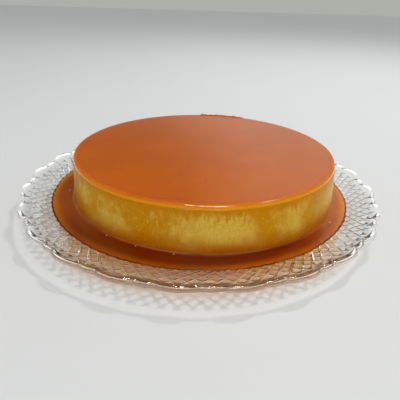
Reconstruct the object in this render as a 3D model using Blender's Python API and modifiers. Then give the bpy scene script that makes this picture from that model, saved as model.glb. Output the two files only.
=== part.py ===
"""A whole leche flan on the clear pressed glass plate that it was turned out on.

Lengths are in metres. The plate's axis is the Z axis, its foot stands on Z = 0, and the
flan sits a little off the axis, in a shallow pool of the caramel that ran down its side.
"""

import math

import bpy
from mathutils import Matrix

# The flan: a round cake of custard, upside down, so that it is widest at its base.
FLAN_TOP_RADIUS = 0.1115
FLAN_BASE_RADIUS = 0.1146
FLAN_HEIGHT = 0.0388
FLAN_CENTRE = (0.0031, 0.0034)
TOP_EDGE_ROUNDING = 0.0024
BASE_EDGE_ROUNDING = 0.0026
CARAMEL_LAYER = 0.0032  # the depth that the caramel has soaked into the top

# The pool round the flan, in the plate's well.
POOL_RADIUS = 0.1295
POOL_DEPTH = 0.0030

# The plate: a flat well, a flange that rises to the rim, and a foot ring under the well.
FOOT_HEIGHT = 0.0042
FOOT_OUTER_RADIUS = 0.1060
FOOT_INNER_RADIUS = 0.1015
FOOT_DRAFT = 0.0014
FLOOR_THICKNESS = 0.0043
WELL_RADIUS = 0.1165
FLANGE_SLOPE = 0.24
FLANGE_THICKNESS = 0.0040

# The rim: a bead along wide and narrow scallops that meet in notches.
NOTCH_RADIUS = 0.1490
SCALLOP_PAIRS = 24
WIDE_SHARE = 0.70  # of each pair's angle
WIDE_BULGE = 0.0037
NARROW_BULGE = 0.0014
SCALLOP_ROUNDNESS = 0.8
SCALLOP_LIFT = 0.40  # rise for each unit of bulge
SCALLOP_START_RADIUS = 0.1390
NARROW_SCALLOP_ANGLE = math.radians(3.7)
BEAD_HEIGHT = 0.0007
BEAD_HALF_WIDTH = 0.0018
LIP_REACH = 0.0025
LIP_DROP = 0.0026
LIP_THICKNESS = 0.0010

GAP = 0.0003  # left between solids that touch
MERGE_DISTANCE = 0.00001
STEPS_PER_PAIR = 10
FOOD_STEPS = 96
POOL_STEPS = 120
ROUNDING_STEPS = 3

FLOOR_TOP = FOOT_HEIGHT + FLOOR_THICKNESS
POOL_TOP = FLOOR_TOP + POOL_DEPTH
FLAN_TOP = FLOOR_TOP + FLAN_HEIGHT
LAYER_UNDERSIDE = FLAN_TOP - CARAMEL_LAYER


def clear_scene():
    for item in list(bpy.data.objects):
        bpy.data.objects.remove(item, do_unlink=True)


def make_collection(name):
    collection = bpy.data.collections.new(name)
    bpy.context.scene.collection.children.link(collection)
    return collection


def make_material(name, colour, roughness, transmission):
    material = bpy.data.materials.new(name)
    material.use_nodes = True
    shader = material.node_tree.nodes["Principled BSDF"]
    shader.inputs["Base Color"].default_value = (*colour, 1.0)
    shader.inputs["Roughness"].default_value = roughness
    shader.inputs["Metallic"].default_value = 0.0
    shader.inputs["Transmission Weight"].default_value = transmission
    material.diffuse_color = (*colour, 1.0)
    return material


def arc(centre, radius, start, end, steps=ROUNDING_STEPS):
    """Points of an arc in the XZ half plane, from one angle to another, in degrees."""
    points = []
    for step in range(steps + 1):
        angle = math.radians(start + (end - start) * step / steps)
        points.append((centre[0] + radius * math.cos(angle), centre[1] + radius * math.sin(angle)))
    return points


def flan_radius(height):
    """The radius of the flan's side at a height over the plate's floor."""
    return FLAN_BASE_RADIUS + (FLAN_TOP_RADIUS - FLAN_BASE_RADIUS) * height / FLAN_HEIGHT


def dish_height(radius):
    """The height of the plate's upper surface over its floor, at a distance from its axis."""
    if radius <= WELL_RADIUS:
        return 0.0
    if radius <= POOL_RADIUS:
        width = POOL_RADIUS - WELL_RADIUS
        power = FLANGE_SLOPE * width / POOL_DEPTH
        return POOL_DEPTH * ((radius - WELL_RADIUS) / width) ** power
    return POOL_DEPTH + FLANGE_SLOPE * (radius - POOL_RADIUS)


def turned(name, profile, steps, material, collection):
    """A profile of (radius, height) points, listed from the top down, turned round Z."""
    mesh = bpy.data.meshes.new(name)
    edges = [(index, index + 1) for index in range(len(profile) - 1)]
    mesh.from_pydata([(radius, 0.0, height) for radius, height in profile], edges, [])
    body = bpy.data.objects.new(name, mesh)
    collection.objects.link(body)
    screw = body.modifiers.new("Turn", "SCREW")
    screw.axis = "Z"
    screw.angle = 2 * math.pi
    screw.steps = steps
    screw.render_steps = steps
    screw.use_merge_vertices = True
    screw.merge_threshold = MERGE_DISTANCE
    screw.use_smooth_shade = True
    mesh.materials.append(material)
    return body


def made_mesh(body):
    """Replace an object's modifiers by the mesh that they make."""
    evaluated = body.evaluated_get(bpy.context.evaluated_depsgraph_get())
    mesh = bpy.data.meshes.new_from_object(evaluated)
    body.modifiers.clear()
    body.data = mesh
    return mesh


def plate_profile():
    """The plate's section at a notch, from the middle of the well over the rim and back."""
    notch_height = FLOOR_TOP + dish_height(NOTCH_RADIUS)
    bead_top = notch_height + BEAD_HEIGHT
    top_radii = [WELL_RADIUS, (WELL_RADIUS + POOL_RADIUS) / 2, POOL_RADIUS]
    top_radii += [SCALLOP_START_RADIUS, NOTCH_RADIUS - BEAD_HALF_WIDTH]
    under_radii = [NOTCH_RADIUS - BEAD_HALF_WIDTH, POOL_RADIUS]
    profile = [(0.0, FLOOR_TOP)]
    profile += [(radius, FLOOR_TOP + dish_height(radius)) for radius in top_radii]
    profile.append((NOTCH_RADIUS, bead_top))
    profile.append((NOTCH_RADIUS + LIP_REACH, bead_top - LIP_DROP))
    profile.append((NOTCH_RADIUS + LIP_REACH, bead_top - LIP_DROP - LIP_THICKNESS))
    for radius in under_radii:
        profile.append((radius, FLOOR_TOP + dish_height(radius) - FLANGE_THICKNESS))
    profile.append((FOOT_OUTER_RADIUS + FOOT_DRAFT, FOOT_HEIGHT))
    profile.append((FOOT_OUTER_RADIUS, 0.0))
    profile.append((FOOT_INNER_RADIUS, 0.0))
    profile.append((FOOT_INNER_RADIUS - FOOT_DRAFT, FOOT_HEIGHT))
    profile.append((0.0, FOOT_HEIGHT))
    return profile


def scallop_bulge(angle):
    """How far the rim stands out past the notches, at an angle from a narrow scallop."""
    pair = 2 * math.pi / SCALLOP_PAIRS
    half_narrow = pair * (1 - WIDE_SHARE) / 2
    half_wide = pair * WIDE_SHARE / 2
    offset = (angle + pair / 2) % pair - pair / 2
    if abs(offset) < half_narrow:
        share, bulge = offset / half_narrow, NARROW_BULGE
    else:
        share, bulge = (pair / 2 - abs(offset)) / half_wide, WIDE_BULGE
    return bulge * max(0.0, 1 - share ** 2) ** SCALLOP_ROUNDNESS


def scallop_rim(mesh):
    """Push the rim's points out and up along the scallops, less towards the flange."""
    reach = NOTCH_RADIUS - BEAD_HALF_WIDTH - SCALLOP_START_RADIUS
    for vertex in mesh.vertices:
        x, y, z = vertex.co
        radius = math.hypot(x, y)
        share = min(1.0, (radius - SCALLOP_START_RADIUS) / reach)
        if share > 0.0:
            bulge = scallop_bulge(math.atan2(y, x)) * share
            stretch = 1 + bulge / radius
            vertex.co = (x * stretch, y * stretch, z + SCALLOP_LIFT * bulge)


def build_plate(collection):
    glass = make_material("clear_glass", (0.93, 0.94, 0.93), 0.03, 1.0)
    steps = SCALLOP_PAIRS * STEPS_PER_PAIR
    plate = turned("plate", plate_profile(), steps, glass, collection)
    mesh = made_mesh(plate)
    half_step = math.pi / steps  # puts the notches between narrow and wide near mesh points
    mesh.transform(Matrix.Rotation(half_step, 4, "Z"))
    scallop_rim(mesh)
    plate.rotation_euler.z = NARROW_SCALLOP_ANGLE


def build_custard(collection):
    custard = make_material("custard", (0.56, 0.36, 0.08), 0.35, 0.0)
    bottom = FLOOR_TOP + GAP
    top = LAYER_UNDERSIDE - GAP
    corner = (flan_radius(BASE_EDGE_ROUNDING) - BASE_EDGE_ROUNDING, bottom + BASE_EDGE_ROUNDING)
    profile = [(0.0, top), (flan_radius(top - FLOOR_TOP), top)]
    profile += arc(corner, BASE_EDGE_ROUNDING, 0.0, -90.0)
    profile.append((0.0, bottom))
    body = turned("custard", profile, FOOD_STEPS, custard, collection)
    body.location = (*FLAN_CENTRE, 0.0)


def build_caramel_layer(collection):
    caramel = make_material("caramel_top", (0.52, 0.16, 0.04), 0.08, 0.0)
    corner = (FLAN_TOP_RADIUS - TOP_EDGE_ROUNDING, FLAN_TOP - TOP_EDGE_ROUNDING)
    profile = [(0.0, FLAN_TOP)]
    profile += reversed(arc(corner, TOP_EDGE_ROUNDING, 0.0, 90.0))
    profile.append((flan_radius(LAYER_UNDERSIDE - FLOOR_TOP), LAYER_UNDERSIDE))
    profile.append((0.0, LAYER_UNDERSIDE))
    body = turned("caramel_layer", profile, FOOD_STEPS, caramel, collection)
    body.location = (*FLAN_CENTRE, 0.0)


def build_caramel_pool(collection, cutters):
    caramel = make_material("caramel_sauce", (0.25, 0.06, 0.01), 0.05, 0.0)
    mid_radius = (WELL_RADIUS + POOL_RADIUS) / 2
    profile = [(0.0, POOL_TOP), (POOL_RADIUS - GAP / FLANGE_SLOPE, POOL_TOP)]
    for radius in (mid_radius, WELL_RADIUS):
        profile.append((radius, FLOOR_TOP + dish_height(radius) + GAP))
    profile.append((0.0, FLOOR_TOP + GAP))
    pool = turned("caramel_pool", profile, POOL_STEPS, caramel, collection)

    cutter_radius = FLAN_BASE_RADIUS + GAP
    cutter_profile = [(0.0, FLAN_TOP), (cutter_radius, FLAN_TOP), (cutter_radius, 0.0), (0.0, 0.0)]
    cutter = turned("flan_space", cutter_profile, FOOD_STEPS, caramel, cutters)
    cutter.location = (*FLAN_CENTRE, 0.0)
    cutter.hide_render = True
    cutter.display_type = "WIRE"

    cut = pool.modifiers.new("Round the flan", "BOOLEAN")
    cut.operation = "DIFFERENCE"
    cut.solver = "EXACT"
    cut.object = cutter


def main():
    clear_scene()
    parts = make_collection("leche_flan")
    cutters = make_collection("cutters")
    build_plate(parts)
    build_custard(parts)
    build_caramel_layer(parts)
    build_caramel_pool(parts, cutters)


main()
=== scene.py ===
"""Looks for a whole leche flan on its clear pressed glass plate.

Lengths are in metres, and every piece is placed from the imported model's own boxes.
"""

import math
import random

import bpy
from mathutils import Matrix, Vector


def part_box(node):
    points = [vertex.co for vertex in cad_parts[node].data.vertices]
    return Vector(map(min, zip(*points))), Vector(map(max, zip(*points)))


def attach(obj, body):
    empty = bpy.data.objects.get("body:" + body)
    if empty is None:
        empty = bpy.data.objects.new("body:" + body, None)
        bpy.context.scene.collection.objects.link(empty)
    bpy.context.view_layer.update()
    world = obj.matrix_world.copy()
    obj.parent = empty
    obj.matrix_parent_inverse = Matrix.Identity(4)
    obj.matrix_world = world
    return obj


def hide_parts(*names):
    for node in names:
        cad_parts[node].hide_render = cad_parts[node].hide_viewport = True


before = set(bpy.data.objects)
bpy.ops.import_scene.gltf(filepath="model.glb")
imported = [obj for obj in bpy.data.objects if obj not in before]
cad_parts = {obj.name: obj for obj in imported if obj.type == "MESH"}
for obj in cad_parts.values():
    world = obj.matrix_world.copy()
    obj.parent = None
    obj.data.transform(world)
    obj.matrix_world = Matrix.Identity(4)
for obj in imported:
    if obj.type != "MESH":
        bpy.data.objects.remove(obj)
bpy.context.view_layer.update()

MM = 0.001

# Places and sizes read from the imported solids.
_, PLATE_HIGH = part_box("plate")
CUSTARD_LOW, CUSTARD_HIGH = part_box("custard")
LAYER_LOW, LAYER_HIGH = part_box("caramel_layer")
_, POOL_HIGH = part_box("caramel_pool")
GAP = 0.3 * MM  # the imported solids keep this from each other
FLOOR_TOP = CUSTARD_LOW.z - GAP
POOL_TOP = POOL_HIGH.z
POOL_DEPTH = POOL_TOP - FLOOR_TOP
FLAN_TOP = LAYER_HIGH.z
LAYER_UNDERSIDE = LAYER_LOW.z
FLAN_X = (CUSTARD_LOW.x + CUSTARD_HIGH.x) / 2
FLAN_Y = (CUSTARD_LOW.y + CUSTARD_HIGH.y) / 2
FLAN_BASE_RADIUS = (CUSTARD_HIGH.x - CUSTARD_LOW.x) / 2
FLAN_LAYER_RADIUS = (LAYER_HIGH.x - LAYER_LOW.x) / 2

# The plate's section.
FOOT_HEIGHT = 4.2 * MM
FOOT_OUTER = 106.0 * MM
FOOT_INNER = 101.5 * MM
FOOT_ROUND = 0.6 * MM
FLANGE_SLOPE = 0.24
FLANGE_THICKNESS = 2.6 * MM
WELL_RADIUS = 116.5 * MM
POOL_RADIUS = POOL_HIGH.x + GAP / FLANGE_SLOPE

# The rim's scallops.
SCALLOP_PAIRS = 24
NARROW_SHARE = 0.30
WIDE_BULGE = 3.7 * MM
NARROW_BULGE = 1.4 * MM
SCALLOP_ROUNDNESS = 0.8
SCALLOP_LIFT = 0.40
SCALLOP_START = 139.0 * MM
NARROW_ANGLE = math.radians(3.7)
BEAD_HEIGHT = 0.7 * MM
BEAD_HALF_WIDTH = 1.8 * MM
LIP_REACH = 2.5 * MM
LIP_DROP = 2.6 * MM
LIP_THICKNESS = 1.0 * MM
WIDE_MIDDLE_FROM_X = math.pi / SCALLOP_PAIRS - NARROW_ANGLE
NOTCH_RADIUS = PLATE_HIGH.x / math.cos(WIDE_MIDDLE_FROM_X) - LIP_REACH - WIDE_BULGE

# The diamonds pressed into the underside of the flange.
DIAMONDS_PER_PAIR = 4
DIAMOND_LENGTH = 8.0 * MM
DIAMOND_DEPTH = 0.65 * MM
GROOVE_WIDTH = 0.40  # of the distance from one groove to the next
LAST_ROW_RADIUS = 143.0 * MM
STEPS_PER_DIAMOND = 10
DIAMONDS_ROUND = SCALLOP_PAIRS * DIAMONDS_PER_PAIR
PLATE_COLUMNS = DIAMONDS_ROUND * STEPS_PER_DIAMOND
RELIEF_START = 122.0 * MM  # the relief fades in from here
RELIEF_END = LAST_ROW_RADIUS + 2.4 * MM  # and is gone here

# The flan's two parts.
FOOD_COLUMNS = 480
FLAT_RADIUS = 60.0 * MM  # one ring of points on each surface that doesn't show
TOP_ROUNDING = 1.3 * MM
BASE_ROUNDING = 2.0 * MM

# The liquid caramel, whose section runs out along the top and back along the glass.
POOL_COLUMNS = 960
POOL_TOP_STEPS = 14
POOL_EDGE_STEPS = 7
POOL_UNDER_STEPS = 8
DARK_EDGE_STEPS = 5  # the last of the edge's steps
POOL_START = 0.8 * MM  # inside the flan's side
POOL_EDGE_WIDTH = 2.2 * MM
POOL_EDGE_GAP = 1.0 * MM
POOL_EDGE_WOBBLE = 0.22 * MM
POOL_EDGE_TEETH = 0.55 * MM
INTO_GLASS = 0.12 * MM
CLIMB_HEIGHT = 1.1 * MM
CLIMB_REACH = 0.8 * MM


# ---------------------------------------------------------------- node helpers


class Graph:
    """Adds nodes to a tree and links them, so that a formula reads as calls."""

    def __init__(self, tree):
        self.tree = tree

    def node(self, kind, **settings):
        node = self.tree.nodes.new(kind)
        for name, value in settings.items():
            setattr(node, name, value)
        return node

    def feed(self, socket, value):
        if isinstance(value, bpy.types.NodeSocket):
            self.tree.links.new(value, socket)
        else:
            socket.default_value = value

    def math(self, operation, *values, clamp=False):
        node = self.node("ShaderNodeMath", operation=operation, use_clamp=clamp)
        for socket, value in zip(node.inputs, values):
            self.feed(socket, value)
        return node.outputs[0]

    def add(self, first, second):
        return self.math("ADD", first, second)

    def minus(self, first, second):
        return self.math("SUBTRACT", first, second)

    def times(self, first, second):
        return self.math("MULTIPLY", first, second)

    def over(self, first, second):
        return self.math("DIVIDE", first, second)

    def length(self, x, y):
        return self.math("SQRT", self.add(self.times(x, x), self.times(y, y)))

    def ramp(self, value, low, high, to_low=0.0, to_high=1.0):
        """A smooth step from one value to another as the input goes from low to high."""
        node = self.node("ShaderNodeMapRange", interpolation_type="SMOOTHSTEP")
        for name, setting in zip(
            ("Value", "From Min", "From Max", "To Min", "To Max"),
            (value, low, high, to_low, to_high),
        ):
            self.feed(node.inputs[name], setting)
        return node.outputs["Result"]

    def blend(self, share, first, second, kind="MIX"):
        """A mix of two colours."""
        node = self.node("ShaderNodeMix", data_type="RGBA", blend_type=kind)
        self.feed(node.inputs["Factor"], share)
        self.feed(node.inputs["A"], first)
        self.feed(node.inputs["B"], second)
        return node.outputs["Result"]

    def noise(self, place, scale, detail=2.0, roughness=0.5, distortion=0.0):
        node = self.node("ShaderNodeTexNoise")
        self.feed(node.inputs["Vector"], place)
        self.feed(node.inputs["Scale"], scale)
        self.feed(node.inputs["Detail"], detail)
        self.feed(node.inputs["Roughness"], roughness)
        self.feed(node.inputs["Distortion"], distortion)
        return node.outputs["Fac"]

    def axes(self, vector):
        node = self.node("ShaderNodeSeparateXYZ")
        self.feed(node.inputs[0], vector)
        return node.outputs[0], node.outputs[1], node.outputs[2]

    def vector(self, x, y, z):
        node = self.node("ShaderNodeCombineXYZ")
        for socket, value in zip(node.inputs, (x, y, z)):
            self.feed(socket, value)
        return node.outputs[0]

    def stretch(self, place, x, y, z):
        node = self.node("ShaderNodeMapping")
        self.feed(node.inputs["Vector"], place)
        node.inputs["Scale"].default_value = (x, y, z)
        return node.outputs[0]


def new_tree(name, kind, inputs, outputs):
    """A node group with named sockets, given as (name, socket type, value) and (name, type)."""
    tree = bpy.data.node_groups.new(name, kind)
    for label, socket_type, value in inputs:
        socket = tree.interface.new_socket(name=label, in_out="INPUT", socket_type=socket_type)
        if value is not None:
            socket.default_value = value
    for label, socket_type in outputs:
        tree.interface.new_socket(name=label, in_out="OUTPUT", socket_type=socket_type)
    graph = Graph(tree)
    given = graph.node("NodeGroupInput").outputs
    result = graph.node("NodeGroupOutput").inputs
    return tree, graph, given, result


FLOAT, VECTOR = "NodeSocketFloat", "NodeSocketVector"
WHOLE, SHAPE, FINISH = "NodeSocketInt", "NodeSocketGeometry", "NodeSocketMaterial"


def srgb(red, green, blue):
    """A colour given as it looks on a screen, from 0 to 255, as the linear colour of a node."""
    linear = []
    for value in (red, green, blue):
        share = value / 255
        linear.append(share / 12.92 if share <= 0.04045 else ((share + 0.055) / 1.055) ** 2.4)
    return (*linear, 1.0)


# ---------------------------------------------------------------- geometry trees


def turn_section(graph, section, columns, rows, start):
    """Turns a section, whose points are (radius, 0, height), round Z as a grid of points.

    Gives the grid, each point's column, angle, radius and height, and a way to read one of
    the section's attributes.
    """
    grid = graph.node("GeometryNodeMeshGrid")
    graph.feed(grid.inputs["Vertices X"], graph.add(columns, 1))
    graph.feed(grid.inputs["Vertices Y"], rows)
    index = graph.node("GeometryNodeInputIndex").outputs[0]
    column = graph.math("FLOOR", graph.over(graph.add(index, 0.5), rows))
    row = graph.minus(index, graph.times(column, rows))
    angle = graph.add(start, graph.times(graph.over(column, columns), 2 * math.pi))

    def sample(value, data_type):
        node = graph.node("GeometryNodeSampleIndex", data_type=data_type)
        graph.feed(node.inputs["Geometry"], section)
        graph.feed(node.inputs["Value"], value)
        graph.feed(node.inputs["Index"], row)
        return node.outputs[0]

    def attribute(name):
        named = graph.node("GeometryNodeInputNamedAttribute", data_type="FLOAT")
        named.inputs["Name"].default_value = name
        return sample(named.outputs["Attribute"], "FLOAT")

    point = sample(graph.node("GeometryNodeInputPosition").outputs[0], "FLOAT_VECTOR")
    radius, _, height = graph.axes(point)
    return grid.outputs["Mesh"], column, angle, radius, height, attribute


def close_grid(graph, mesh, position, finish, result, faceted=None):
    """Moves the grid's points into place, closes its seam and poles, and gives it a finish.

    The grid is smooth, apart from where the faceted field is over one half.
    """
    moved = graph.node("GeometryNodeSetPosition")
    graph.feed(moved.inputs["Geometry"], mesh)
    graph.feed(moved.inputs["Position"], position)
    flipped = graph.node("GeometryNodeFlipFaces")  # the section runs outwards along the top
    graph.feed(flipped.inputs["Mesh"], moved.outputs[0])
    smooth = graph.node("GeometryNodeSetShadeSmooth")
    graph.feed(smooth.inputs["Geometry"], flipped.outputs[0])
    if faceted is not None:
        of_points = graph.node("GeometryNodeFieldOnDomain", domain="POINT", data_type="FLOAT")
        graph.feed(of_points.inputs[0], faceted)
        graph.feed(smooth.inputs["Selection"], graph.math("LESS_THAN", of_points.outputs[0], 0.5))
    merged = graph.node("GeometryNodeMergeByDistance")
    graph.feed(merged.inputs["Geometry"], smooth.outputs[0])
    merged.inputs["Distance"].default_value = 0.002 * MM
    real = graph.node("GeometryNodeRealizeInstances")
    graph.feed(real.inputs[0], merged.outputs[0])
    coated = graph.node("GeometryNodeSetMaterial")
    graph.feed(coated.inputs["Geometry"], real.outputs[0])
    graph.feed(coated.inputs["Material"], finish)
    graph.feed(result["Geometry"], coated.outputs[0])


def plate_tree():
    """Turns the plate's section, scallops its rim and presses diamonds into its underside."""
    tree, graph, given, result = new_tree(
        "pressed_plate",
        "GeometryNodeTree",
        [
            ("Section", SHAPE, None),
            ("Columns", WHOLE, 960),
            ("Rows", WHOLE, 64),
            ("Start Angle", FLOAT, 0.0),
            ("Scallop Pairs", FLOAT, 24.0),
            ("Narrow Share", FLOAT, 0.3),
            ("Wide Bulge", FLOAT, 0.004),
            ("Narrow Bulge", FLOAT, 0.001),
            ("Roundness", FLOAT, 0.8),
            ("Lift", FLOAT, 0.4),
            ("Scallop Start", FLOAT, 0.14),
            ("Scallop Full", FLOAT, 0.15),
            ("Diamonds Round", FLOAT, 96.0),
            ("Diamond Length", FLOAT, 0.008),
            ("Diamond Depth", FLOAT, 0.001),
            ("Row Radius", FLOAT, 0.14),
            ("Groove Width", FLOAT, 0.2),
            ("Material", FINISH, None),
        ],
        [("Geometry", SHAPE)],
    )
    mesh, column, angle, radius, height, attribute = turn_section(
        graph, given["Section"], given["Columns"], given["Rows"], given["Start Angle"]
    )
    turn = graph.over(column, given["Columns"])

    # How far the rim stands out past its notches.
    place = graph.math("FRACT", graph.add(graph.times(turn, given["Scallop Pairs"]), 0.5))
    offset = graph.math("ABSOLUTE", graph.minus(place, 0.5))
    half_narrow = graph.times(given["Narrow Share"], 0.5)
    in_narrow = graph.math("LESS_THAN", offset, half_narrow)
    narrow_share = graph.over(offset, half_narrow)
    wide_share = graph.over(graph.minus(0.5, offset), graph.minus(0.5, half_narrow))

    def bulge(share, height_of_it):
        inside = graph.math("MAXIMUM", graph.minus(1.0, graph.times(share, share)), 0.0)
        return graph.times(graph.math("POWER", inside, given["Roundness"]), height_of_it)

    narrow = bulge(narrow_share, given["Narrow Bulge"])
    wide = bulge(wide_share, given["Wide Bulge"])
    stands_out = graph.add(
        graph.times(in_narrow, narrow),
        graph.times(graph.minus(1.0, in_narrow), wide),
    )
    reach = graph.minus(given["Scallop Full"], given["Scallop Start"])
    share = graph.over(graph.minus(radius, given["Scallop Start"]), reach)
    share = graph.math("MINIMUM", graph.math("MAXIMUM", share, 0.0), 1.0)
    out = graph.times(stands_out, share)

    # Flat diamonds between two families of crossing grooves.
    across = graph.times(turn, given["Diamonds Round"])
    along = graph.over(graph.minus(radius, given["Row Radius"]), given["Diamond Length"])

    def from_groove(value):
        """0 on a groove and 1 halfway to the next."""
        part = graph.math("FRACT", graph.add(value, 0.5))
        off_middle = graph.math("ABSOLUTE", graph.minus(part, 0.5))
        return graph.minus(1.0, graph.times(off_middle, 2.0))

    first = from_groove(graph.add(across, along))
    second = from_groove(graph.minus(across, along))
    from_nearest = graph.math("MINIMUM", first, second)
    flat = graph.math("MINIMUM", graph.over(from_nearest, given["Groove Width"]), 1.0)
    strength = attribute("relief")
    relief = graph.times(graph.times(flat, given["Diamond Depth"]), strength)

    far = graph.add(radius, out)
    high = graph.minus(graph.add(height, graph.times(out, given["Lift"])), relief)
    position = graph.vector(
        graph.times(far, graph.math("COSINE", angle)),
        graph.times(far, graph.math("SINE", angle)),
        high,
    )
    close_grid(graph, mesh, position, given["Material"], result, strength)
    return tree


def food_tree():
    """Turns a section round the flan's middle and makes its surface slightly uneven."""
    tree, graph, given, result = new_tree(
        "uneven_round",
        "GeometryNodeTree",
        [
            ("Section", SHAPE, None),
            ("Columns", WHOLE, 480),
            ("Rows", WHOLE, 32),
            ("Middle X", FLOAT, 0.0),
            ("Middle Y", FLOAT, 0.0),
            ("Wave Height", FLOAT, 0.001),
            ("Waves per Metre", FLOAT, 25.0),
            ("Lump Height", FLOAT, 0.0002),
            ("Lumps per Metre", FLOAT, 250.0),
            ("Upright Stretch", FLOAT, 0.5),
            ("Material", FINISH, None),
        ],
        [("Geometry", SHAPE)],
    )
    mesh, _, angle, radius, height, attribute = turn_section(
        graph, given["Section"], given["Columns"], given["Rows"], 0.0
    )
    ray_x = graph.math("COSINE", angle)
    ray_y = graph.math("SINE", angle)
    place = graph.vector(
        graph.times(radius, ray_x),
        graph.times(radius, ray_y),
        graph.times(height, given["Upright Stretch"]),
    )
    waves = graph.minus(graph.noise(place, given["Waves per Metre"], 1.0), 0.5)
    lumps = graph.minus(graph.noise(place, given["Lumps per Metre"], 3.0), 0.5)
    uneven = graph.add(
        graph.times(waves, given["Wave Height"]),
        graph.times(lumps, given["Lump Height"]),
    )
    far = graph.add(radius, graph.times(uneven, attribute("side_give")))
    high = graph.add(height, graph.times(uneven, attribute("top_give")))
    position = graph.vector(
        graph.add(given["Middle X"], graph.times(far, ray_x)),
        graph.add(given["Middle Y"], graph.times(far, ray_y)),
        high,
    )
    close_grid(graph, mesh, position, given["Material"], result)
    return tree


def bubble_tree():
    """Sets a small round bubble on every point of a mesh, each of its own size."""
    tree, graph, given, result = new_tree(
        "bubbles",
        "GeometryNodeTree",
        [
            ("Points", SHAPE, None),
            ("Smallest", FLOAT, 0.0002),
            ("Largest", FLOAT, 0.0006),
            ("Flatness", FLOAT, 0.6),
            ("Seed", WHOLE, 1),
            ("Material", FINISH, None),
        ],
        [("Geometry", SHAPE)],
    )
    ball = graph.node("GeometryNodeMeshIcoSphere")
    ball.inputs["Radius"].default_value = 1.0
    ball.inputs["Subdivisions"].default_value = 3
    size = graph.node("FunctionNodeRandomValue", data_type="FLOAT")
    graph.feed(size.inputs[2], given["Smallest"])
    graph.feed(size.inputs[3], given["Largest"])
    graph.feed(size.inputs["Seed"], given["Seed"])
    width = size.outputs[1]
    placed = graph.node("GeometryNodeInstanceOnPoints")
    graph.feed(placed.inputs["Points"], given["Points"])
    graph.feed(placed.inputs["Instance"], ball.outputs["Mesh"])
    scale = graph.vector(width, width, graph.times(width, given["Flatness"]))
    graph.feed(placed.inputs["Scale"], scale)
    real = graph.node("GeometryNodeRealizeInstances")
    graph.feed(real.inputs[0], placed.outputs[0])
    smooth = graph.node("GeometryNodeSetShadeSmooth")
    graph.feed(smooth.inputs[0], real.outputs[0])
    coated = graph.node("GeometryNodeSetMaterial")
    graph.feed(coated.inputs["Geometry"], smooth.outputs[0])
    graph.feed(coated.inputs["Material"], given["Material"])
    graph.feed(result["Geometry"], coated.outputs[0])
    return tree


# ---------------------------------------------------------------- mesh helpers


def link(item):
    bpy.context.scene.collection.objects.link(item)
    return item


def section_mesh(name, points, **attributes):
    """A line of (radius, height) points with one number for each point in each attribute."""
    mesh = bpy.data.meshes.new(name)
    edges = [(index, index + 1) for index in range(len(points) - 1)]
    mesh.from_pydata([(radius, 0.0, height) for radius, height in points], edges, [])
    for label, values in attributes.items():
        layer = mesh.attributes.new(label, "FLOAT", "POINT")
        layer.data.foreach_set("value", values)
    return mesh


def grown(name, base, tree, **values):
    """The plain mesh piece that a node tree grows on a base, its inputs given by name."""
    source = link(bpy.data.objects.new(name + "_base", base))
    modifier = source.modifiers.new("Grow", "NODES")
    modifier.node_group = tree
    sockets = {}
    for item in tree.interface.items_tree:
        if item.item_type == "SOCKET" and item.in_out == "INPUT":
            sockets[item.name.replace(" ", "_").lower()] = item.identifier
    for label, value in values.items():
        modifier[sockets[label]] = value
    bpy.context.view_layer.update()
    evaluated = source.evaluated_get(bpy.context.evaluated_depsgraph_get())
    mesh = bpy.data.meshes.new_from_object(evaluated)
    bpy.data.objects.remove(source, do_unlink=True)
    mesh.name = name
    return link(bpy.data.objects.new(name, mesh))


def hand_over(piece, slot, *nodes):
    """Ties a finished piece to the frame."""
    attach(piece, "root")
    if nodes:
        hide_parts(*nodes)


def arc(centre, radius, start, end, steps):
    """Points of an arc in a section, from one angle to another, in degrees."""
    points = []
    for step in range(steps + 1):
        angle = math.radians(start + (end - start) * step / steps)
        points.append((centre[0] + radius * math.cos(angle), centre[1] + radius * math.sin(angle)))
    return points


def spread(start, end, steps):
    """Evenly spaced numbers from one value up to, but not reaching, another."""
    return [start + (end - start) * step / steps for step in range(steps)]


# ---------------------------------------------------------------- shader groups


def mottle_group():
    """Soft blotches and fine specks over a surface, as two masks from 0 to 1."""
    tree, graph, given, result = new_tree(
        "mottle",
        "ShaderNodeTree",
        [
            ("Place", VECTOR, None),
            ("Blotches per Metre", FLOAT, 60.0),
            ("Specks per Metre", FLOAT, 900.0),
        ],
        [("Blotch", FLOAT), ("Speck", FLOAT)],
    )
    blotch = graph.noise(given["Place"], given["Blotches per Metre"], 3.0, 0.55, 0.4)
    graph.feed(result["Blotch"], graph.ramp(blotch, 0.36, 0.64))
    speck = graph.noise(given["Place"], given["Specks per Metre"], 1.0)
    graph.feed(result["Speck"], graph.ramp(speck, 0.64, 0.76))
    return tree


def wet_group():
    """The faint unevenness of a wet surface: a roughness, and a height for a bump."""
    tree, graph, given, result = new_tree(
        "wet_surface",
        "ShaderNodeTree",
        [
            ("Place", VECTOR, None),
            ("Smoothest", FLOAT, 0.02),
            ("Roughest", FLOAT, 0.08),
            ("Ripples per Metre", FLOAT, 120.0),
        ],
        [("Roughness", FLOAT), ("Height", FLOAT)],
    )
    patch = graph.noise(given["Place"], 45.0, 2.0)
    rough = graph.ramp(patch, 0.3, 0.7, given["Smoothest"], given["Roughest"])
    graph.feed(result["Roughness"], rough)
    graph.feed(result["Height"], graph.noise(given["Place"], given["Ripples per Metre"], 2.0))
    return tree


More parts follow.
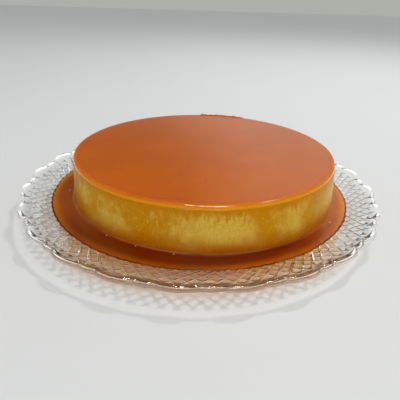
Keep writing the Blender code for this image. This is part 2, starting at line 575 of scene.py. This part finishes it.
class Finish(Graph):
    """A material round one Principled BSDF, in the object's own coordinates."""

    def __init__(self, name):
        self.material = bpy.data.materials.new(name)
        self.material.use_nodes = True
        super().__init__(self.material.node_tree)
        self.shader = self.tree.nodes["Principled BSDF"]
        self.place = self.node("ShaderNodeTexCoord").outputs["Object"]

    def set(self, **constants):
        for label, value in constants.items():
            self.shader.inputs[label.replace("_", " ")].default_value = value

    def wire(self, label, value):
        self.feed(self.shader.inputs[label], value)

    def group(self, tree, **values):
        node = self.node("ShaderNodeGroup", node_tree=tree)
        for label, value in values.items():
            self.feed(node.inputs[label.replace("_", " ")], value)
        return node.outputs

    def let_light_through(self, room_tint, lamp_tint):
        """Lets the room's light and the lamps' light straight through, each with its tint."""
        path = self.node("ShaderNodeLightPath").outputs
        colour = self.blend(path["Is Shadow Ray"], room_tint, lamp_tint)
        light = self.math("MAXIMUM", path["Is Shadow Ray"], path["Is Diffuse Ray"])
        mix = self.node("ShaderNodeMixShader")
        self.feed(mix.inputs[0], light)
        self.feed(mix.inputs[1], self.shader.outputs[0])
        clear = self.node("ShaderNodeBsdfTransparent")
        self.feed(clear.inputs["Color"], colour)
        self.feed(mix.inputs[2], clear.outputs[0])
        self.feed(self.tree.nodes["Material Output"].inputs["Surface"], mix.outputs[0])

    def bump(self, height, distance, strength=1.0):
        node = self.node("ShaderNodeBump")
        node.inputs["Distance"].default_value = distance
        node.inputs["Strength"].default_value = strength
        self.feed(node.inputs["Height"], height)
        self.wire("Normal", node.outputs[0])


MOTTLE = mottle_group()
WET = wet_group()


# ---------------------------------------------------------------- materials

# What light takes on as it passes through the liquid caramel: the room's, then the lamps'.
THROUGH_CARAMEL = (srgb(236, 178, 60), srgb(240, 216, 180))


def clear_glass():
    """Colourless pressed glass with the faint haze that pressing leaves."""
    finish = Finish("clear_glass")
    wet = finish.group(WET, Place=finish.place, Smoothest=0.0, Roughest=0.03)
    tone = finish.noise(finish.place, 30.0, 2.0)
    finish.wire("Base Color", finish.blend(tone, srgb(253, 254, 253), srgb(255, 255, 255)))
    finish.wire("Roughness", wet["Roughness"])
    finish.set(Transmission_Weight=1.0, IOR=1.5, Metallic=0.0)

    # The lamps' light passes less at a groove, which throws it aside.
    x, y, _ = finish.axes(finish.place)
    radius = finish.length(x, y)
    turn = finish.over(finish.minus(finish.math("ARCTAN2", y, x), NARROW_ANGLE), 2 * math.pi)
    across = finish.times(turn, float(DIAMONDS_ROUND))
    along = finish.over(finish.minus(radius, LAST_ROW_RADIUS), DIAMOND_LENGTH)
    first = finish.math("COSINE", finish.times(finish.add(across, along), math.pi))
    second = finish.math("COSINE", finish.times(finish.minus(across, along), math.pi))
    passed = finish.ramp(finish.math("ABSOLUTE", finish.times(first, second)), 0.05, 0.75)
    outside = finish.ramp(radius, LAST_ROW_RADIUS + 1.0 * MM, LAST_ROW_RADIUS + 2.5 * MM)
    passed = finish.math("MAXIMUM", passed, outside)
    rim = finish.ramp(radius, NOTCH_RADIUS - 0.5 * MM, NOTCH_RADIUS + 1.0 * MM)
    passed = finish.times(passed, finish.minus(1.0, finish.times(rim, 0.6)))
    # What reaches the table close under the front has come through caramel.
    golden = finish.ramp(y, -60.0 * MM, -112.0 * MM)
    golden = finish.times(golden, finish.ramp(radius, 145.0 * MM, 137.0 * MM))
    from_above = finish.node("ShaderNodeNewGeometry").outputs["Backfacing"]
    way = finish.node("ShaderNodeLightPath").outputs["Ray Length"]
    close = finish.times(finish.minus(1.0, from_above), finish.ramp(way, 21.0 * MM, 13.0 * MM))
    room_light = finish.blend(finish.times(golden, close), srgb(255, 255, 254), srgb(242, 174, 28))
    passed = finish.math("MAXIMUM", passed, finish.times(from_above, 0.9))
    lamp_light = finish.blend(passed, srgb(136, 138, 142), srgb(255, 255, 254))
    finish.let_light_through(room_light, lamp_light)
    return finish.material


def custard():
    """Baked egg custard: creamy yellow, streaked and browned where caramel ran down it."""
    finish = Finish("custard")
    x, _, z = finish.axes(finish.place)
    share = finish.over(finish.minus(z, POOL_TOP), LAYER_UNDERSIDE - POOL_TOP)
    upright = finish.stretch(finish.place, 1.0, 1.0, 0.30)
    taller = finish.stretch(finish.place, 1.0, 1.0, 0.55)
    level = finish.stretch(finish.place, 1.0, 1.0, 2.2)

    cream = srgb(232, 195, 84)
    golden = srgb(213, 149, 5)
    amber = srgb(214, 140, 0)
    brown = srgb(186, 106, 0)

    broad = finish.group(MOTTLE, Place=finish.place, Blotches_per_Metre=34.0, Specks_per_Metre=620.0)
    colour = finish.blend(broad["Blotch"], golden, cream)
    streak = finish.noise(upright, 330.0, 4.0, 0.65, 0.5)
    upper = finish.ramp(share, 0.45, 0.85)
    streaks = finish.times(finish.ramp(streak, 0.46, 0.60), upper)
    colour = finish.blend(finish.times(streaks, 0.75), colour, amber)
    pale = finish.ramp(finish.noise(upright, 520.0, 3.0, 0.6, 0.3), 0.56, 0.70)
    colour = finish.blend(finish.times(pale, 0.35), colour, srgb(236, 198, 84))
    curd = finish.ramp(finish.noise(taller, 420.0, 3.0, 0.6), 0.60, 0.68)
    curd = finish.times(curd, finish.ramp(share, 0.35, 0.70))
    colour = finish.blend(finish.times(curd, 0.55), colour, srgb(240, 200, 96))
    # Paler towards the right: painted light, where the room's light falls more strongly on that side.
    painted_light_on_right = finish.ramp(x, 84.0 * MM, 110.0 * MM, 0.0, 0.6)
    colour = finish.blend(painted_light_on_right, colour, srgb(244, 210, 128))
    drips = finish.minus(finish.noise(upright, 170.0, 5.0, 0.7), 0.5)
    ragged = finish.add(share, finish.times(drips, 0.60))
    colour = finish.blend(finish.ramp(ragged, 0.76, 0.98), colour, amber)
    drifts = finish.minus(finish.noise(level, 60.0, 3.0), 0.5)
    low = finish.add(share, finish.times(drifts, 0.30))
    colour = finish.blend(finish.ramp(low, 0.52, -0.03), colour, brown)
    colour = finish.blend(finish.times(broad["Speck"], 0.35), colour, srgb(176, 118, 20))
    grain = finish.noise(finish.stretch(finish.place, 1.0, 1.0, 0.6), 900.0, 3.0, 0.7)
    grain = finish.ramp(grain, 0.30, 0.70)
    shade = finish.blend(grain, srgb(240, 234, 214), srgb(255, 255, 255))
    colour = finish.blend(1.0, colour, shade, "MULTIPLY")
    finish.wire("Base Color", colour)

    wet = finish.group(WET, Place=finish.place, Smoothest=0.22, Roughest=0.42)
    finish.wire("Roughness", wet["Roughness"])
    finish.bump(finish.noise(upright, 500.0, 3.0, 0.6), 0.25 * MM, 0.5)
    finish.set(Subsurface_Weight=0.35, Subsurface_Scale=0.004, Subsurface_Radius=(1.0, 0.55, 0.18))
    finish.set(Specular_IOR_Level=0.04, Coat_Roughness=0.12)
    finish.wire("Coat Weight", finish.ramp(ragged, 0.85, 1.05, 0.0, 0.10))
    return finish.material


def caramel_top():
    """The caramel-soaked top: amber, translucent and wet."""
    finish = Finish("caramel_top")
    x, y, z = finish.axes(finish.place)
    away = finish.length(finish.minus(x, FLAN_X), finish.minus(y, FLAN_Y))
    flat = finish.group(MOTTLE, Place=finish.place, Blotches_per_Metre=16.0, Specks_per_Metre=700.0)
    colour = finish.blend(flat["Blotch"], srgb(197, 93, 6), srgb(204, 99, 8))
    edge = finish.ramp(away, FLAN_LAYER_RADIUS - 4.0 * MM, FLAN_LAYER_RADIUS - 0.5 * MM)
    colour = finish.blend(finish.times(edge, 0.6), colour, srgb(222, 124, 0))
    side = finish.ramp(z, FLAN_TOP - 0.3 * MM, FLAN_TOP - 1.5 * MM)
    colour = finish.blend(side, colour, srgb(246, 156, 0))
    # Two short creases in the skin near the front edge.
    along = finish.minus(x, FLAN_X - 19.0 * MM)
    bent = finish.times(finish.times(along, along), 4.0)
    across = finish.minus(y, finish.add(FLAN_Y - 103.0 * MM, bent))
    ends = finish.ramp(finish.math("ABSOLUTE", along), 12.0 * MM, 5.0 * MM)
    near = finish.ramp(finish.math("ABSOLUTE", across), 0.9 * MM, 0.1 * MM)
    far = finish.ramp(finish.math("ABSOLUTE", finish.minus(across, 3.2 * MM)), 0.7 * MM, 0.1 * MM)
    crease = finish.times(finish.add(near, finish.times(far, 0.5)), ends)
    # The nearer crease is painted darker along its line: painted shade in the fold.
    colour = finish.blend(finish.times(finish.times(near, ends), 0.45), colour, srgb(150, 52, 0))
    colour = finish.blend(finish.times(flat["Speck"], 0.12), colour, srgb(150, 60, 10))
    for speck_x, speck_y in ((2.0, -72.7), (11.8, -57.0), (11.5, -68.3)):
        aside = finish.minus(x, FLAN_X + speck_x * MM)
        behind = finish.minus(y, FLAN_Y + speck_y * MM)
        speck = finish.ramp(finish.length(aside, behind), 1.3 * MM, 0.4 * MM, 0.0, 0.4)
        colour = finish.blend(speck, colour, srgb(136, 52, 6))
    finish.wire("Base Color", colour)
    wet = finish.group(WET, Place=finish.place, Smoothest=0.05, Roughest=0.10, Ripples_per_Metre=60.0)
    finish.wire("Roughness", wet["Roughness"])
    finish.bump(finish.add(wet["Height"], finish.times(crease, 6.0)), 0.10 * MM, 0.25)
    finish.set(Subsurface_Weight=0.25, Subsurface_Scale=0.003, Subsurface_Radius=(1.0, 0.35, 0.05))
    finish.set(Specular_IOR_Level=0.1, Coat_Roughness=0.04)
    level = finish.ramp(z, FLAN_TOP - 0.9 * MM, FLAN_TOP - 0.2 * MM, 0.12, 0.85)
    breaks = finish.ramp(finish.noise(finish.place, 170.0, 3.0, 0.6), 0.46, 0.56, 0.0, 1.0)
    middle = finish.ramp(away, FLAN_LAYER_RADIUS - 2.5 * MM, FLAN_LAYER_RADIUS - 4.0 * MM)
    breaks = finish.math("MAXIMUM", breaks, middle)
    finish.wire("Coat Weight", finish.times(level, breaks))
    return finish.material


def caramel_under_glass():
    """The liquid caramel's underside: its bright base colour is a painted glow of the light that
    comes down through the caramel, on top of the scattering that carries some of it.
    """
    finish = Finish("caramel_under_glass")
    tone = finish.noise(finish.place, 60.0, 2.0)
    colour = finish.blend(tone, srgb(250, 178, 40), srgb(255, 196, 70))
    finish.wire("Base Color", colour)
    finish.set(Specular_IOR_Level=0.1, Roughness=0.4)
    finish.set(Subsurface_Weight=1.0, Subsurface_Scale=0.008, Subsurface_Radius=(1.0, 0.60, 0.15))
    finish.let_light_through(*THROUGH_CARAMEL)
    return finish.material


def caramel_bubble():
    """A small bubble in the liquid caramel, painted pale as a painted highlight."""
    finish = Finish("caramel_bubble")
    tone = finish.noise(finish.place, 800.0, 1.0)
    colour = finish.blend(tone, srgb(214, 140, 70), srgb(246, 196, 140))
    finish.wire("Base Color", colour)
    finish.set(Roughness=0.08, Specular_IOR_Level=0.5)
    return finish.material


def caramel_edge():
    """The liquid caramel's rounded outer edge, painted dark as painted shade, since its rounding
    turns light away.
    """
    finish = Finish("caramel_edge")
    tone = finish.noise(finish.place, 120.0, 2.0)
    colour = finish.blend(finish.ramp(tone, 0.35, 0.65), srgb(46, 16, 2), srgb(110, 50, 6))
    finish.wire("Base Color", colour)
    finish.set(Roughness=0.08, Specular_IOR_Level=0.4)
    finish.let_light_through(*THROUGH_CARAMEL)
    return finish.material


def caramel_sauce():
    """Liquid caramel: red-brown where it is deep, amber where it thins out on the glass."""
    finish = Finish("caramel_sauce")
    x, y, z = finish.axes(finish.place)
    thin = finish.ramp(finish.length(x, y), POOL_RADIUS - 9.0 * MM, POOL_RADIUS - 1.0 * MM)
    # Darker towards the front: painted shade, where the flan keeps the light off the pool.
    front = finish.ramp(y, -40.0 * MM, -100.0 * MM)
    deep = finish.blend(front, srgb(184, 92, 0), srgb(120, 28, 0))
    shallow = finish.blend(front, srgb(216, 136, 0), srgb(166, 82, 0))
    flat = finish.group(MOTTLE, Place=finish.place, Blotches_per_Metre=50.0, Specks_per_Metre=700.0)
    colour = finish.blend(thin, deep, shallow)
    colour = finish.blend(finish.times(flat["Blotch"], 0.15), colour, srgb(124, 50, 0))
    climbing = finish.ramp(z, POOL_TOP + 0.15 * MM, POOL_TOP + 1.0 * MM)
    colour = finish.blend(finish.times(climbing, 0.85), colour, srgb(196, 100, 10))
    finish.wire("Base Color", colour)
    wet = finish.group(WET, Place=finish.place, Smoothest=0.03, Roughest=0.06, Ripples_per_Metre=80.0)
    finish.wire("Roughness", wet["Roughness"])
    finish.bump(wet["Height"], 0.10 * MM, 0.3)
    finish.set(Specular_IOR_Level=0.1, Coat_Roughness=0.03)
    level = finish.ramp(z, POOL_TOP + 0.5 * MM, POOL_TOP + 0.05 * MM)
    nearest = finish.ramp(y, -102.0 * MM, -108.0 * MM)
    gloss = finish.ramp(finish.math("MAXIMUM", level, nearest), 0.0, 1.0, 0.10, 0.85)
    finish.wire("Coat Weight", gloss)
    finish.set(Subsurface_Weight=0.9, Subsurface_Scale=0.005, Subsurface_Radius=(1.0, 0.40, 0.08))
    finish.let_light_through(*THROUGH_CARAMEL)
    return finish.material


# ---------------------------------------------------------------- the plate


def dish_height(radius):
    """The height of the plate's upper surface over its floor, at a distance from its axis."""
    if radius <= WELL_RADIUS:
        return 0.0
    if radius <= POOL_RADIUS:
        width = POOL_RADIUS - WELL_RADIUS
        power = FLANGE_SLOPE * width / POOL_DEPTH
        return POOL_DEPTH * ((radius - WELL_RADIUS) / width) ** power
    return POOL_DEPTH + FLANGE_SLOPE * (radius - POOL_RADIUS)


def plate_section():
    """The plate's section at a notch, and how strongly each point takes the diamond relief."""
    inner_bead = NOTCH_RADIUS - BEAD_HALF_WIDTH
    outer_half_width = BEAD_HALF_WIDTH / 2
    upper_radii = [0.0, 40 * MM, 80 * MM, 105 * MM, 114 * MM]
    upper_radii += spread(WELL_RADIUS - 1 * MM, WELL_RADIUS + 3 * MM, 5)
    upper_radii += spread(WELL_RADIUS + 3 * MM, inner_bead, 12)
    upper = [(radius, FLOOR_TOP + dish_height(radius)) for radius in upper_radii]

    rim_height = FLOOR_TOP + dish_height(NOTCH_RADIUS)
    bead = arc((0.0, 0.0), 1.0, 180.0, 35.0, 8)
    rim = []
    for x, z in bead:
        half_width = outer_half_width if x > 0 else BEAD_HALF_WIDTH
        rim.append((NOTCH_RADIUS + half_width * x, rim_height + BEAD_HEIGHT * z))
    lip_low = rim_height + BEAD_HEIGHT - LIP_DROP - LIP_THICKNESS
    lip_rounding = 0.45 * MM
    lip_corner = (NOTCH_RADIUS + LIP_REACH - lip_rounding, lip_low + 0.75 * MM)
    rim += arc(lip_corner, lip_rounding, 44.0, -136.0, 6)
    rim.append((NOTCH_RADIUS + 0.3 * MM, rim_height - 0.75 * MM))
    rim.append((NOTCH_RADIUS - 0.8 * MM, rim_height - 1.30 * MM))

    under_start = FLOOR_TOP - FLANGE_THICKNESS
    ring = DIAMOND_LENGTH / STEPS_PER_DIAMOND
    under_radii = [NOTCH_RADIUS - 2.6 * MM]
    rings = 25
    under_radii += [LAST_ROW_RADIUS + 2 * ring - ring * step for step in range(rings)]
    under_radii += [121.5 * MM, 118.5 * MM, WELL_RADIUS - 2 * MM, 111.0 * MM]
    under = [(radius, under_start + dish_height(radius)) for radius in under_radii]

    foot = [(FOOT_OUTER + 1.6 * MM, under_start), (FOOT_OUTER + 1.2 * MM, FOOT_HEIGHT * 0.7)]
    foot += arc((FOOT_OUTER - FOOT_ROUND, FOOT_ROUND), FOOT_ROUND, 0.0, -90.0, 3)
    foot += arc((FOOT_INNER + FOOT_ROUND, FOOT_ROUND), FOOT_ROUND, -90.0, -180.0, 3)
    foot += [(FOOT_INNER - 1.2 * MM, FOOT_HEIGHT * 0.8), (FOOT_INNER - 1.8 * MM, FOOT_HEIGHT)]
    floor = [(radius, FOOT_HEIGHT) for radius in (90 * MM, 60 * MM, 30 * MM, 0.0)]

    points = upper + rim + under + foot + floor
    relief = [0.0] * len(points)
    first = len(upper) + len(rim)
    for index, radius in enumerate(under_radii):
        outer = min(1.0, max(0.0, (RELIEF_END - radius) / (1.6 * MM)))
        inner = min(1.0, max(0.0, (radius - RELIEF_START) / (3.0 * MM)))
        relief[first + index] = outer * inner
    return points, relief


def build_plate():
    """The plate, with its scalloped rim and the lattice under its flange."""
    points, relief = plate_section()
    base = section_mesh("plate_section", points, relief=relief)
    plate = grown(
        "glass_plate",
        base,
        plate_tree(),
        columns=PLATE_COLUMNS,
        rows=len(points),
        start_angle=NARROW_ANGLE,
        scallop_pairs=float(SCALLOP_PAIRS),
        narrow_share=NARROW_SHARE,
        wide_bulge=WIDE_BULGE,
        narrow_bulge=NARROW_BULGE,
        roundness=SCALLOP_ROUNDNESS,
        lift=SCALLOP_LIFT,
        scallop_start=SCALLOP_START,
        scallop_full=NOTCH_RADIUS - BEAD_HALF_WIDTH,
        diamonds_round=float(DIAMONDS_ROUND),
        diamond_length=DIAMOND_LENGTH,
        diamond_depth=DIAMOND_DEPTH,
        row_radius=LAST_ROW_RADIUS,
        groove_width=GROOVE_WIDTH,
        material=clear_glass(),
    )
    hand_over(plate, "clear_glass", "plate")


# ---------------------------------------------------------------- the flan


def flan_radius(height):
    """The radius of the flan's side at a height over the table."""
    base_height = FLOOR_TOP + 2.6 * MM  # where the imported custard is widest
    share = (height - base_height) / (LAYER_UNDERSIDE - base_height)
    return FLAN_BASE_RADIUS + (FLAN_LAYER_RADIUS - FLAN_BASE_RADIUS) * share


def build_flan(custard_finish, top_finish):
    """The custard and the caramel layer on it, which share one uneven outline."""
    tree = food_tree()
    unevenness = dict(
        columns=FOOD_COLUMNS,
        middle_x=FLAN_X,
        middle_y=FLAN_Y,
        wave_height=1.6 * MM,
        waves_per_metre=22.0,
        lump_height=0.35 * MM,
        lumps_per_metre=230.0,
        upright_stretch=0.5,
    )
    side_steps = 44
    bottom = FLOOR_TOP - 0.1 * MM
    seam = LAYER_UNDERSIDE
    fall = bottom + BASE_ROUNDING - seam
    side = [seam + fall * step / side_steps for step in range(side_steps + 1)]
    points = [(0.0, seam), (FLAT_RADIUS, seam)]
    points += [(flan_radius(height), height) for height in side]
    base_corner = (flan_radius(side[-1]) - BASE_ROUNDING, bottom + BASE_ROUNDING)
    points += arc(base_corner, BASE_ROUNDING, -22.5, -90.0, 3)
    points += [(FLAT_RADIUS, bottom), (0.0, bottom)]
    give = [0.0, 0.0] + [1.0] * (side_steps + 1) + [0.5, 0.2, 0.0, 0.0, 0.0, 0.0]
    base = section_mesh("custard_section", points, side_give=give, top_give=[0.0] * len(points))
    rows = len(points)
    body = grown("baked_custard", base, tree, rows=rows, material=custard_finish, **unevenness)
    hand_over(body, "custard", "custard")

    underside = seam - 0.2 * MM
    corner = (flan_radius(FLAN_TOP) - TOP_ROUNDING, FLAN_TOP - TOP_ROUNDING)
    top_radii = spread(0.0, corner[0], 24)
    points = [(radius, FLAN_TOP) for radius in top_radii]
    points += arc(corner, TOP_ROUNDING, 90.0, 0.0, 10)
    points += [(flan_radius(height), height) for height in (seam + 0.4 * MM, seam)]
    points += [(FLAT_RADIUS, underside), (0.0, underside)]
    side_give = [0.0] * len(top_radii) + spread(0.0, 1.0, 11) + [1.0, 1.0, 0.0, 0.0]
    top_give = [0.06] * len(top_radii) + spread(0.06, 0.0, 11) + [0.0] * 4
    base = section_mesh("layer_section", points, side_give=side_give, top_give=top_give)
    rows = len(points)
    layer = grown("caramel_top", base, tree, rows=rows, material=top_finish, **unevenness)
    hand_over(layer, "caramel_top", "caramel_layer")


# ---------------------------------------------------------------- the pool


def pool_section(angle, wobble):
    """The liquid's closed section along a ray from the plate's axis, as (radius, height)."""
    along = math.cos(angle) * FLAN_X + math.sin(angle) * FLAN_Y
    aside = FLAN_X ** 2 + FLAN_Y ** 2 - along ** 2
    inner = along + math.sqrt((flan_radius(POOL_TOP) - POOL_START) ** 2 - aside)
    teeth = abs(math.cos(DIAMONDS_ROUND * (angle - NARROW_ANGLE) / 2))
    outer = POOL_RADIUS - POOL_EDGE_GAP + POOL_EDGE_WOBBLE * wobble + POOL_EDGE_TEETH * teeth
    climb = CLIMB_HEIGHT * (1 + 0.4 * wobble)
    edge_start = outer - POOL_EDGE_WIDTH
    edge_drop = POOL_TOP - FLOOR_TOP - dish_height(outer)

    section = []
    for step in range(POOL_TOP_STEPS):
        share = (step / (POOL_TOP_STEPS - 1)) ** 1.8
        radius = inner + (edge_start - inner) * share
        from_flan = max(0.0, radius - inner - POOL_START)
        section.append((radius, POOL_TOP + climb * math.exp(-from_flan / CLIMB_REACH)))
    for step in range(1, POOL_EDGE_STEPS + 1):
        share = step / POOL_EDGE_STEPS
        drop = edge_drop * (1 - math.sqrt(max(0.0, 1 - share ** 3)))
        section.append((edge_start + POOL_EDGE_WIDTH * share, POOL_TOP - drop))
    for step in range(1, POOL_UNDER_STEPS + 1):
        radius = outer + (inner - outer) * step / POOL_UNDER_STEPS
        section.append((radius, FLOOR_TOP + dish_height(radius) - INTO_GLASS))
    return section


def build_pool(finish):
    """The liquid between the flan's foot and the plate, level apart from its two edges."""
    rng = random.Random(11)
    phases = [rng.uniform(0, 2 * math.pi) for _ in range(6)]
    verts = []
    for column in range(POOL_COLUMNS):
        angle = 2 * math.pi * column / POOL_COLUMNS
        waves = (math.sin(angle * (7 + 9 * k) + phase) / (k + 2) for k, phase in enumerate(phases))
        for radius, height in pool_section(angle, sum(waves)):
            verts.append((radius * math.cos(angle), radius * math.sin(angle), height))

    sauce, under_glass, edge = 0, 1, 2
    kinds = [sauce] * (POOL_TOP_STEPS + POOL_EDGE_STEPS - DARK_EDGE_STEPS)
    kinds += [edge] * DARK_EDGE_STEPS
    kinds += [under_glass] * POOL_UNDER_STEPS
    steps = len(kinds)
    faces = []
    for column in range(POOL_COLUMNS):
        here = column * steps
        there = (column + 1) % POOL_COLUMNS * steps
        for step in range(steps):
            after = (step + 1) % steps
            faces.append((here + step, here + after, there + after, there + step))
    mesh = bpy.data.meshes.new("caramel_pool")
    mesh.from_pydata(verts, [], faces)
    mesh.shade_smooth()
    for material in (finish, caramel_under_glass(), caramel_edge()):
        mesh.materials.append(material)
    mesh.polygons.foreach_set("material_index", kinds * POOL_COLUMNS)
    pool = link(bpy.data.objects.new("liquid_caramel", mesh))
    hand_over(pool, "caramel_sauce", "caramel_pool")


# ---------------------------------------------------------------- small details


def ring_points(name, radius_of, places, height):
    """A mesh of loose points round the flan, from angles in degrees and distances."""
    mesh = bpy.data.meshes.new(name)
    points = []
    for angle, away in places:
        turn = math.radians(angle)
        far = radius_of + away
        points.append((FLAN_X + far * math.cos(turn), FLAN_Y + far * math.sin(turn), height))
    mesh.from_pydata(points, [], [])
    return mesh


def build_bits(top_finish):
    """Bubbles in the liquid caramel, and the crumbs of skin that stand up on the far rim."""
    tree = bubble_tree()
    foot = flan_radius(POOL_TOP)
    rng = random.Random(5)
    places = [(-126.0, 1.6 * MM), (-99.0, 1.8 * MM), (-32.6, 4.5 * MM), (-113.0, 1.2 * MM)]
    places += [(rng.uniform(-180, 180), rng.uniform(1.2 * MM, 9.0 * MM)) for _ in range(7)]
    base = ring_points("bubble_places", foot, places, POOL_TOP + 0.05 * MM)
    bubbles = grown(
        "caramel_bubbles",
        base,
        tree,
        smallest=0.3 * MM,
        largest=0.7 * MM,
        flatness=0.7,
        seed=3,
        material=caramel_bubble(),
    )
    hand_over(bubbles, "caramel_sauce")

    places = [(angle, rng.uniform(-2.2 * MM, -0.8 * MM)) for angle in spread(68.0, 93.0, 26)]
    base = ring_points("crumb_places", flan_radius(FLAN_TOP), places, FLAN_TOP + 0.3 * MM)
    crumbs = grown(
        "rim_crumbs",
        base,
        tree,
        smallest=0.7 * MM,
        largest=1.8 * MM,
        flatness=0.55,
        seed=8,
        material=top_finish,
    )
    hand_over(crumbs, "caramel_top")


# ---------------------------------------------------------------- stage, light and camera


def build_floor():
    """A plain pale floor."""
    mesh = bpy.data.meshes.new("floor")
    half = 6.0
    corners = [(-half, -half, 0), (half, -half, 0), (half, half, 0), (-half, half, 0)]
    mesh.from_pydata(corners, [], [(0, 1, 2, 3)])
    floor = link(bpy.data.objects.new("floor", mesh))
    finish = Finish("pale_floor")
    tone = finish.noise(finish.place, 3.0, 2.0)
    colour = finish.blend(tone, srgb(217, 219, 220), srgb(221, 222, 222))
    finish.wire("Base Color", colour)
    finish.set(Roughness=0.8)
    floor.data.materials.append(finish.material)


def build_world():
    """A grey room with a pale ceiling and one dim patch behind the flan."""
    world = bpy.data.worlds.new("studio")
    bpy.context.scene.world = world
    world.use_nodes = True
    graph = Graph(world.node_tree)
    background = world.node_tree.nodes["Background"]
    through_glass = graph.node("ShaderNodeLightPath").outputs["Is Transmission Ray"]
    ray = graph.node("ShaderNodeTexCoord").outputs["Generated"]
    _, _, height = graph.axes(ray)
    wall = (0.42, 0.43, 0.40, 1.0)
    ceiling = (0.62, 0.63, 0.64, 1.0)
    dim = (0.07, 0.07, 0.07, 1.0)
    bright = (1.38, 1.38, 1.33, 1.0)
    to_dim_patch = (-0.2586, 0.8458, 0.4667)
    widest = math.cos(math.radians(25))
    darkest = math.cos(math.radians(4))
    colour = graph.blend(graph.ramp(height, 0.50, 0.80), wall, ceiling)
    near = graph.node("ShaderNodeVectorMath", operation="DOT_PRODUCT")
    graph.feed(near.inputs[0], ray)
    near.inputs[1].default_value = to_dim_patch
    colour = graph.blend(graph.ramp(near.outputs["Value"], widest, darkest), colour, dim)
    graph.feed(background.inputs["Color"], graph.blend(through_glass, colour, bright))
    background.inputs["Strength"].default_value = 1.0


def area_light(name, place, target, width, height, power):
    data = bpy.data.lights.new(name, "AREA")
    data.shape = "RECTANGLE"
    data.size = width
    data.size_y = height
    data.energy = power
    light = link(bpy.data.objects.new(name, data))
    light.location = place
    light.rotation_euler = (Vector(target) - Vector(place)).to_track_quat("-Z", "Y").to_euler()
    return light


def build_lights():
    """A small hard lamp and a thin strip, and a softbox that shows only as highlights."""
    middle = (0.0, 0.0, 0.02)
    glints = area_light("softbox_in_front", (0.05, -0.72, 1.25), middle, 0.9, 0.30, 50.0)
    glints.data.color = (1.0, 0.93, 0.80)
    glints.visible_diffuse = False
    glints.visible_transmission = False
    area_light("ceiling_lamp", (0.66, 0.75, 1.5), middle, 0.12, 0.10, 12.0)
    area_light("strip_behind_camera", (0.45, -1.0, 1.0), middle, 1.6, 0.08, 4.5)


def build_camera():
    """A camera a little above the table that looks down at the flan from the front."""
    distance = 371.373 * MM
    elevation = math.radians(24.54)
    pan_angle = math.radians(0.37)
    tilt_angle = math.radians(-2.27)
    roll_angle = math.radians(-1.83)
    focus = Vector((FLAN_X, FLAN_Y, POOL_TOP))
    forward = Vector((0.0, math.cos(elevation), -math.sin(elevation)))
    right = Vector((1.0, 0.0, 0.0))
    up = right.cross(forward)
    place = focus - forward * distance
    pan = Matrix.Rotation(pan_angle, 3, up)
    forward = pan @ forward
    right = pan @ right
    tilt = Matrix.Rotation(tilt_angle, 3, right)
    forward = tilt @ forward
    up = tilt @ up
    roll = Matrix.Rotation(roll_angle, 3, forward)
    right = roll @ right
    up = roll @ up
    data = bpy.data.cameras.new("camera")
    data.sensor_width = 36.0
    data.lens = 36.0
    camera = link(bpy.data.objects.new("camera", data))
    camera.matrix_world = Matrix(
        (
            (right.x, up.x, -forward.x, place.x),
            (right.y, up.y, -forward.y, place.y),
            (right.z, up.z, -forward.z, place.z),
            (0.0, 0.0, 0.0, 1.0),
        )
    )
    bpy.context.scene.camera = camera


def main():
    bpy.context.scene.view_settings.view_transform = "Standard"
    build_camera()
    build_plate()
    top_finish = caramel_top()
    build_flan(custard(), top_finish)
    build_pool(caramel_sauce())
    build_bits(top_finish)
    build_floor()
    build_world()
    build_lights()


main()
